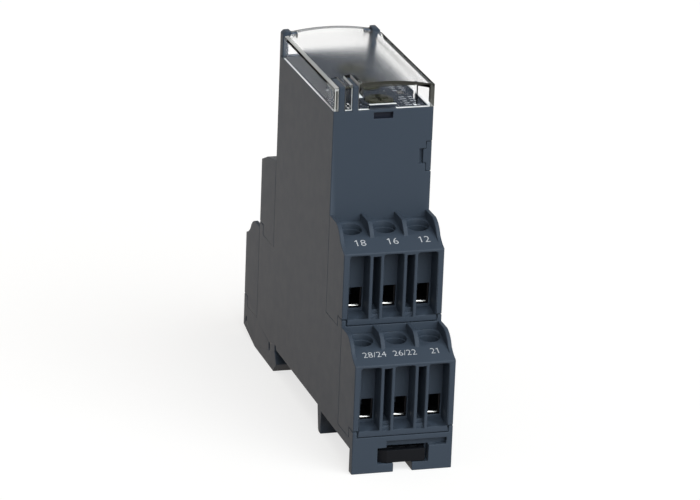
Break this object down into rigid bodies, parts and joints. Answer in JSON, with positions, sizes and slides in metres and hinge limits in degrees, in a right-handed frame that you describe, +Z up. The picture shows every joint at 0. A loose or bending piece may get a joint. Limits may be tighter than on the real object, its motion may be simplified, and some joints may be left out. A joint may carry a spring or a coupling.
{
  "type": "multifunction timer relay",
  "caption": "Slim rail-mounted timer relay with a clear hinged cover over its setting dials, stepped screw terminals at both ends and a sprung rail clip.",
  "frame": {"origin": "middle of the footprint, on the surface that the feet stand on", "axes": "+X across the narrow width, towards the plate that closes the right side; +Y along the length, away from the end with the rail clip's handle; +Z up, from the rail side to the dials"},
  "size_m": [0.0226, 0.09, 0.0808],
  "materials": {
    "anthracite_plastic": "moulded, fine satin grain",
    "clear_plastic": "clear polycarbonate, polished",
    "black_plastic": "moulded, satin",
    "panel_plastic": "moulded, printed with plain scales",
    "dial_plastic": "moulded, satin",
    "plated_steel": "zinc plated, bright",
    "tinned_copper": "tin plated copper alloy",
    "circuit_board": "green solder resist",
    "switch_case": "moulded",
    "relay_case": "sealed moulded case",
    "film_case": "moulded box, resin filled",
    "can_sleeve": "shrunk sleeve",
    "disc_coating": "dipped resin",
    "ferrite": "sintered ferrite",
    "chip_case": "moulded resin",
    "light_pipe": "clear, polished ends",
    "lamp_resin": "cast resin"
  },
  "bodies": {
    "base": {"housing": "anthracite_plastic", "side_cover": "anthracite_plastic", "front_panel": "panel_plastic", "time_potentiometer": "switch_case", "range_switch": "switch_case", "mode_switch": "switch_case", "light_guide": "light_pipe", "status_lamps": "lamp_resin", "front_board": "circuit_board", "main_board": "circuit_board", "board_header": "black_plastic", "relay_one": "relay_case", "relay_two": "relay_case", "film_capacitor": "film_case", "smoothing_capacitor": "can_sleeve", "varistor": "disc_coating", "filter_choke": "ferrite", "controller_chip": "chip_case", "terminal_block_front_lower": "anthracite_plastic", "contact_strips_front_lower": "tinned_copper", "terminal_block_front_upper": "anthracite_plastic", "contact_strips_front_upper": "tinned_copper", "terminal_block_rear_lower": "anthracite_plastic", "contact_strips_rear_lower": "tinned_copper", "terminal_block_rear_upper": "anthracite_plastic", "contact_strips_rear_upper": "tinned_copper"},
    "cover": {"clear_cover": "clear_plastic"},
    "time_dial": {"time_dial": "dial_plastic"},
    "range_dial": {"range_dial": "dial_plastic"},
    "mode_dial": {"mode_dial": "dial_plastic"},
    "rail_clip": {"rail_clip": "black_plastic"},
    "screw_front_lower_1": {"screw_front_lower_1": "plated_steel"},
    "clamp_front_lower_1": {"clamp_front_lower_1": "plated_steel"},
    "screw_front_lower_2": {"screw_front_lower_2": "plated_steel"},
    "clamp_front_lower_2": {"clamp_front_lower_2": "plated_steel"},
    "screw_front_lower_3": {"screw_front_lower_3": "plated_steel"},
    "clamp_front_lower_3": {"clamp_front_lower_3": "plated_steel"},
    "screw_front_upper_1": {"screw_front_upper_1": "plated_steel"},
    "clamp_front_upper_1": {"clamp_front_upper_1": "plated_steel"},
    "screw_front_upper_2": {"screw_front_upper_2": "plated_steel"},
    "clamp_front_upper_2": {"clamp_front_upper_2": "plated_steel"},
    "screw_front_upper_3": {"screw_front_upper_3": "plated_steel"},
    "clamp_front_upper_3": {"clamp_front_upper_3": "plated_steel"},
    "screw_rear_lower_1": {"screw_rear_lower_1": "plated_steel"},
    "clamp_rear_lower_1": {"clamp_rear_lower_1": "plated_steel"},
    "screw_rear_lower_2": {"screw_rear_lower_2": "plated_steel"},
    "clamp_rear_lower_2": {"clamp_rear_lower_2": "plated_steel"},
    "screw_rear_lower_3": {"screw_rear_lower_3": "plated_steel"},
    "clamp_rear_lower_3": {"clamp_rear_lower_3": "plated_steel"},
    "screw_rear_upper_1": {"screw_rear_upper_1": "plated_steel"},
    "clamp_rear_upper_1": {"clamp_rear_upper_1": "plated_steel"},
    "screw_rear_upper_2": {"screw_rear_upper_2": "plated_steel"},
    "clamp_rear_upper_2": {"clamp_rear_upper_2": "plated_steel"},
    "screw_rear_upper_3": {"screw_rear_upper_3": "plated_steel"},
    "clamp_rear_upper_3": {"clamp_rear_upper_3": "plated_steel"}
  },
  "joints": [
    {"name": "cover_hinge", "type": "hinge", "parent": "base", "child": "cover", "pos_m": [0, 0.02045, 0.079], "axis": [-1, 0, 0], "range_deg": [0, 110]},
    {"name": "clip_slide", "type": "slide", "parent": "base", "child": "rail_clip", "axis": [0, -1, 0], "range_m": [0, 0.0025], "stiffness_N_per_m": 2000, "springref_m": -0.0005},
    {"name": "time_dial_turn", "type": "hinge", "parent": "base", "child": "time_dial", "pos_m": [0.0008, -0.0152, 0.0749], "axis": [0, 0, -1], "range_deg": [-135, 135]},
    {"name": "range_dial_turn", "type": "hinge", "parent": "base", "child": "range_dial", "pos_m": [0.0008, -0.0046, 0.0749], "axis": [0, 0, -1], "range_deg": [-150, 150]},
    {"name": "mode_dial_turn", "type": "hinge", "parent": "base", "child": "mode_dial", "pos_m": [0.0008, 0.006, 0.0749], "axis": [0, 0, -1], "range_deg": [-150, 150]},
    {"name": "screw_front_lower_1_turn", "type": "hinge", "parent": "base", "child": "screw_front_lower_1", "pos_m": [-0.0076, -0.0364, 0.02475], "axis": [0, 0, -1], "range_deg": [0, 2160]},
    {"name": "clamp_front_lower_1_lift", "type": "slide", "parent": "base", "child": "clamp_front_lower_1", "axis": [0, 0, 1], "range_m": [0, 0.003]},
    {"name": "screw_front_lower_2_turn", "type": "hinge", "parent": "base", "child": "screw_front_lower_2", "pos_m": [0, -0.0364, 0.02475], "axis": [0, 0, -1], "range_deg": [0, 2160]},
    {"name": "clamp_front_lower_2_lift", "type": "slide", "parent": "base", "child": "clamp_front_lower_2", "axis": [0, 0, 1], "range_m": [0, 0.003]},
    {"name": "screw_front_lower_3_turn", "type": "hinge", "parent": "base", "child": "screw_front_lower_3", "pos_m": [0.0076, -0.0364, 0.02475], "axis": [0, 0, -1], "range_deg": [0, 2160]},
    {"name": "clamp_front_lower_3_lift", "type": "slide", "parent": "base", "child": "clamp_front_lower_3", "axis": [0, 0, 1], "range_m": [0, 0.003]},
    {"name": "screw_front_upper_1_turn", "type": "hinge", "parent": "base", "child": "screw_front_upper_1", "pos_m": [-0.0076, -0.0251, 0.04615], "axis": [0, 0, -1], "range_deg": [0, 2160]},
    {"name": "clamp_front_upper_1_lift", "type": "slide", "parent": "base", "child": "clamp_front_upper_1", "axis": [0, 0, 1], "range_m": [0, 0.003]},
    {"name": "screw_front_upper_2_turn", "type": "hinge", "parent": "base", "child": "screw_front_upper_2", "pos_m": [0, -0.0251, 0.04615], "axis": [0, 0, -1], "range_deg": [0, 2160]},
    {"name": "clamp_front_upper_2_lift", "type": "slide", "parent": "base", "child": "clamp_front_upper_2", "axis": [0, 0, 1], "range_m": [0, 0.003]},
    {"name": "screw_front_upper_3_turn", "type": "hinge", "parent": "base", "child": "screw_front_upper_3", "pos_m": [0.0076, -0.0251, 0.04615], "axis": [0, 0, -1], "range_deg": [0, 2160]},
    {"name": "clamp_front_upper_3_lift", "type": "slide", "parent": "base", "child": "clamp_front_upper_3", "axis": [0, 0, 1], "range_m": [0, 0.003]},
    {"name": "screw_rear_lower_1_turn", "type": "hinge", "parent": "base", "child": "screw_rear_lower_1", "pos_m": [-0.0076, 0.0364, 0.02475], "axis": [0, 0, -1], "range_deg": [0, 2160]},
    {"name": "clamp_rear_lower_1_lift", "type": "slide", "parent": "base", "child": "clamp_rear_lower_1", "axis": [0, 0, 1], "range_m": [0, 0.003]},
    {"name": "screw_rear_lower_2_turn", "type": "hinge", "parent": "base", "child": "screw_rear_lower_2", "pos_m": [0, 0.0364, 0.02475], "axis": [0, 0, -1], "range_deg": [0, 2160]},
    {"name": "clamp_rear_lower_2_lift", "type": "slide", "parent": "base", "child": "clamp_rear_lower_2", "axis": [0, 0, 1], "range_m": [0, 0.003]},
    {"name": "screw_rear_lower_3_turn", "type": "hinge", "parent": "base", "child": "screw_rear_lower_3", "pos_m": [0.0076, 0.0364, 0.02475], "axis": [0, 0, -1], "range_deg": [0, 2160]},
    {"name": "clamp_rear_lower_3_lift", "type": "slide", "parent": "base", "child": "clamp_rear_lower_3", "axis": [0, 0, 1], "range_m": [0, 0.003]},
    {"name": "screw_rear_upper_1_turn", "type": "hinge", "parent": "base", "child": "screw_rear_upper_1", "pos_m": [-0.0076, 0.0251, 0.04615], "axis": [0, 0, -1], "range_deg": [0, 2160]},
    {"name": "clamp_rear_upper_1_lift", "type": "slide", "parent": "base", "child": "clamp_rear_upper_1", "axis": [0, 0, 1], "range_m": [0, 0.003]},
    {"name": "screw_rear_upper_2_turn", "type": "hinge", "parent": "base", "child": "screw_rear_upper_2", "pos_m": [0, 0.0251, 0.04615], "axis": [0, 0, -1], "range_deg": [0, 2160]},
    {"name": "clamp_rear_upper_2_lift", "type": "slide", "parent": "base", "child": "clamp_rear_upper_2", "axis": [0, 0, 1], "range_m": [0, 0.003]},
    {"name": "screw_rear_upper_3_turn", "type": "hinge", "parent": "base", "child": "screw_rear_upper_3", "pos_m": [0.0076, 0.0251, 0.04615], "axis": [0, 0, -1], "range_deg": [0, 2160]},
    {"name": "clamp_rear_upper_3_lift", "type": "slide", "parent": "base", "child": "clamp_rear_upper_3", "axis": [0, 0, 1], "range_m": [0, 0.003]}
  ],
  "couplings": [
    {"joint": "screw_front_lower_1_turn", "follows": "clamp_front_lower_1_lift", "rad_per_m": 12566},
    {"joint": "screw_front_lower_2_turn", "follows": "clamp_front_lower_2_lift", "rad_per_m": 12566},
    {"joint": "screw_front_lower_3_turn", "follows": "clamp_front_lower_3_lift", "rad_per_m": 12566},
    {"joint": "screw_front_upper_1_turn", "follows": "clamp_front_upper_1_lift", "rad_per_m": 12566},
    {"joint": "screw_front_upper_2_turn", "follows": "clamp_front_upper_2_lift", "rad_per_m": 12566},
    {"joint": "screw_front_upper_3_turn", "follows": "clamp_front_upper_3_lift", "rad_per_m": 12566},
    {"joint": "screw_rear_lower_1_turn", "follows": "clamp_rear_lower_1_lift", "rad_per_m": 12566},
    {"joint": "screw_rear_lower_2_turn", "follows": "clamp_rear_lower_2_lift", "rad_per_m": 12566},
    {"joint": "screw_rear_lower_3_turn", "follows": "clamp_rear_lower_3_lift", "rad_per_m": 12566},
    {"joint": "screw_rear_upper_1_turn", "follows": "clamp_rear_upper_1_lift", "rad_per_m": 12566},
    {"joint": "screw_rear_upper_2_turn", "follows": "clamp_rear_upper_2_lift", "rad_per_m": 12566},
    {"joint": "screw_rear_upper_3_turn", "follows": "clamp_rear_upper_3_lift", "rad_per_m": 12566}
  ]
}
